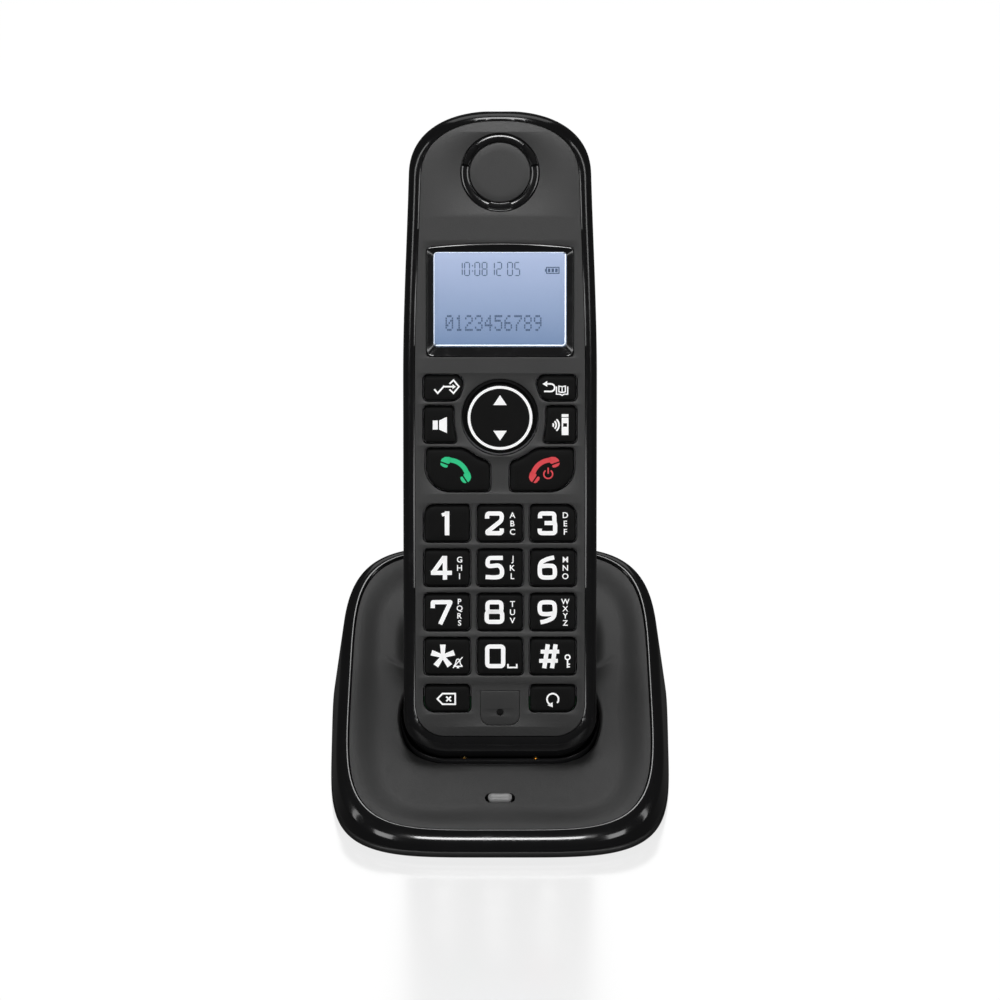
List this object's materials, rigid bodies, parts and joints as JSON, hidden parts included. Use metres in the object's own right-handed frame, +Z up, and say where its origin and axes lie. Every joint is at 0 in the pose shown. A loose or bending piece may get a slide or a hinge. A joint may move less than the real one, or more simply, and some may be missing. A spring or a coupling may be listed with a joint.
{
  "type": "cordless telephone with charging base",
  "caption": "Cordless telephone handset with display, keypad and earpiece, standing in a low sloped charging base with a page key and rear jacks.",
  "frame": {"origin": "on the desk plane under the middle of the whole telephone's box", "axes": "+Z up, front towards -Y, +X to the right seen from the front"},
  "size_m": [0.0858, 0.1117, 0.1596],
  "materials": {
    "gloss_black": "polished injection-moulded black",
    "textured_black": "fine spark-eroded grain, black",
    "base_underside": "satin black",
    "rubber_foot": "soft dark rubber",
    "key_rubber": "satin black silicone with white print",
    "grey_key": "satin grey",
    "window": "clear hard-coated acrylic",
    "display": "light blue back-lit liquid crystal panel",
    "backlight": "white light guide",
    "circuit_board": "green solder mask",
    "dome_sheet": "translucent film over domes",
    "inner_plastic": "plain black",
    "steel": "zinc-plated",
    "gold_contact": "gold-plated contact",
    "cell_sleeve": "printed-free sleeve"
  },
  "bodies": {
    "base": {"base_bottom_shell": "base_underside", "base_gloss_rim": "gloss_black", "base_dish_cover": "textured_black", "cradle_pocket": "gloss_black", "base_feet": "rubber_foot", "base_screws": "steel", "base_circuit_board": "circuit_board", "line_jack": "inner_plastic", "power_jack": "inner_plastic", "page_switch": "inner_plastic", "charge_springs": "steel"},
    "handset": {"handset_back_shell": "gloss_black", "handset_front_plate": "textured_black", "display_frame": "gloss_black", "display_lens": "window", "display_panel": "display", "display_backlight": "backlight", "earpiece_ring": "gloss_black", "earpiece_disc": "textured_black", "earpiece_speaker": "inner_plastic", "loudspeaker": "inner_plastic", "microphone": "inner_plastic", "handset_circuit_board": "circuit_board", "key_dome_sheet": "dome_sheet", "battery_tray": "inner_plastic", "battery_cells": "cell_sleeve", "battery_contacts": "steel", "handset_charge_pads": "gold_contact", "handset_screws": "steel"},
    "battery_door": {"battery_door": "gloss_black"},
    "page_key": {"page_key": "grey_key"},
    "charge_pin_left": {"charge_pin_left": "gold_contact"},
    "charge_pin_right": {"charge_pin_right": "gold_contact"},
    "key_rocker": {"key_rocker": "key_rubber"},
    "key_ok": {"key_ok": "key_rubber"},
    "key_back": {"key_back": "key_rubber"},
    "key_speaker": {"key_speaker": "key_rubber"},
    "key_intercom": {"key_intercom": "key_rubber"},
    "key_talk": {"key_talk": "key_rubber"},
    "key_end": {"key_end": "key_rubber"},
    "key_1": {"key_1": "key_rubber"},
    "key_2": {"key_2": "key_rubber"},
    "key_3": {"key_3": "key_rubber"},
    "key_4": {"key_4": "key_rubber"},
    "key_5": {"key_5": "key_rubber"},
    "key_6": {"key_6": "key_rubber"},
    "key_7": {"key_7": "key_rubber"},
    "key_8": {"key_8": "key_rubber"},
    "key_9": {"key_9": "key_rubber"},
    "key_star": {"key_star": "key_rubber"},
    "key_0": {"key_0": "key_rubber"},
    "key_hash": {"key_hash": "key_rubber"},
    "key_flash": {"key_flash": "key_rubber"},
    "key_redial": {"key_redial": "key_rubber"}
  },
  "joints": [
    {"name": "handset_lift", "type": "slide", "parent": "base", "child": "handset", "axis": [0, 0.4384, 0.8988], "range_m": [0, 0.08]},
    {"name": "battery_door_lift", "type": "slide", "parent": "handset", "child": "battery_door", "axis": [0, 0.8988, -0.4384], "range_m": [0, 0.02]},
    {"name": "page_key_press", "type": "slide", "parent": "base", "child": "page_key", "axis": [0, 0.2672, -0.9636], "range_m": [0, 0.0006], "stiffness_N_per_m": 300},
    {"name": "rocker_tilt", "type": "hinge", "parent": "handset", "child": "key_rocker", "pos_m": [0, 0.00879, 0.09098], "axis": [1, 0, 0], "range_deg": [-3.5, 3.5], "stiffness_Nm_per_rad": 0.04},
    {"name": "charge_pin_left_push", "type": "slide", "parent": "base", "child": "charge_pin_left", "axis": [0, -0.4384, -0.8988], "range_m": [0, 0.0008], "stiffness_N_per_m": 200},
    {"name": "charge_pin_right_push", "type": "slide", "parent": "base", "child": "charge_pin_right", "axis": [0, -0.4384, -0.8988], "range_m": [0, 0.0008], "stiffness_N_per_m": 200},
    {"name": "key_ok_press", "type": "slide", "parent": "handset", "child": "key_ok", "axis": [0, 0.8988, -0.4384], "range_m": [0, 0.0007], "stiffness_N_per_m": 300},
    {"name": "key_back_press", "type": "slide", "parent": "handset", "child": "key_back", "axis": [0, 0.8988, -0.4384], "range_m": [0, 0.0007], "stiffness_N_per_m": 300},
    {"name": "key_speaker_press", "type": "slide", "parent": "handset", "child": "key_speaker", "axis": [0, 0.8988, -0.4384], "range_m": [0, 0.0007], "stiffness_N_per_m": 300},
    {"name": "key_intercom_press", "type": "slide", "parent": "handset", "child": "key_intercom", "axis": [0, 0.8988, -0.4384], "range_m": [0, 0.0007], "stiffness_N_per_m": 300},
    {"name": "key_talk_press", "type": "slide", "parent": "handset", "child": "key_talk", "axis": [0, 0.8988, -0.4384], "range_m": [0, 0.0007], "stiffness_N_per_m": 300},
    {"name": "key_end_press", "type": "slide", "parent": "handset", "child": "key_end", "axis": [0, 0.8988, -0.4384], "range_m": [0, 0.0007], "stiffness_N_per_m": 300},
    {"name": "key_1_press", "type": "slide", "parent": "handset", "child": "key_1", "axis": [0, 0.8988, -0.4384], "range_m": [0, 0.0007], "stiffness_N_per_m": 300},
    {"name": "key_2_press", "type": "slide", "parent": "handset", "child": "key_2", "axis": [0, 0.8988, -0.4384], "range_m": [0, 0.0007], "stiffness_N_per_m": 300},
    {"name": "key_3_press", "type": "slide", "parent": "handset", "child": "key_3", "axis": [0, 0.8988, -0.4384], "range_m": [0, 0.0007], "stiffness_N_per_m": 300},
    {"name": "key_4_press", "type": "slide", "parent": "handset", "child": "key_4", "axis": [0, 0.8988, -0.4384], "range_m": [0, 0.0007], "stiffness_N_per_m": 300},
    {"name": "key_5_press", "type": "slide", "parent": "handset", "child": "key_5", "axis": [0, 0.8988, -0.4384], "range_m": [0, 0.0007], "stiffness_N_per_m": 300},
    {"name": "key_6_press", "type": "slide", "parent": "handset", "child": "key_6", "axis": [0, 0.8988, -0.4384], "range_m": [0, 0.0007], "stiffness_N_per_m": 300},
    {"name": "key_7_press", "type": "slide", "parent": "handset", "child": "key_7", "axis": [0, 0.8988, -0.4384], "range_m": [0, 0.0007], "stiffness_N_per_m": 300},
    {"name": "key_8_press", "type": "slide", "parent": "handset", "child": "key_8", "axis": [0, 0.8988, -0.4384], "range_m": [0, 0.0007], "stiffness_N_per_m": 300},
    {"name": "key_9_press", "type": "slide", "parent": "handset", "child": "key_9", "axis": [0, 0.8988, -0.4384], "range_m": [0, 0.0007], "stiffness_N_per_m": 300},
    {"name": "key_star_press", "type": "slide", "parent": "handset", "child": "key_star", "axis": [0, 0.8988, -0.4384], "range_m": [0, 0.0007], "stiffness_N_per_m": 300},
    {"name": "key_0_press", "type": "slide", "parent": "handset", "child": "key_0", "axis": [0, 0.8988, -0.4384], "range_m": [0, 0.0007], "stiffness_N_per_m": 300},
    {"name": "key_hash_press", "type": "slide", "parent": "handset", "child": "key_hash", "axis": [0, 0.8988, -0.4384], "range_m": [0, 0.0007], "stiffness_N_per_m": 300},
    {"name": "key_flash_press", "type": "slide", "parent": "handset", "child": "key_flash", "axis": [0, 0.8988, -0.4384], "range_m": [0, 0.0007], "stiffness_N_per_m": 300},
    {"name": "key_redial_press", "type": "slide", "parent": "handset", "child": "key_redial", "axis": [0, 0.8988, -0.4384], "range_m": [0, 0.0007], "stiffness_N_per_m": 300}
  ]
}
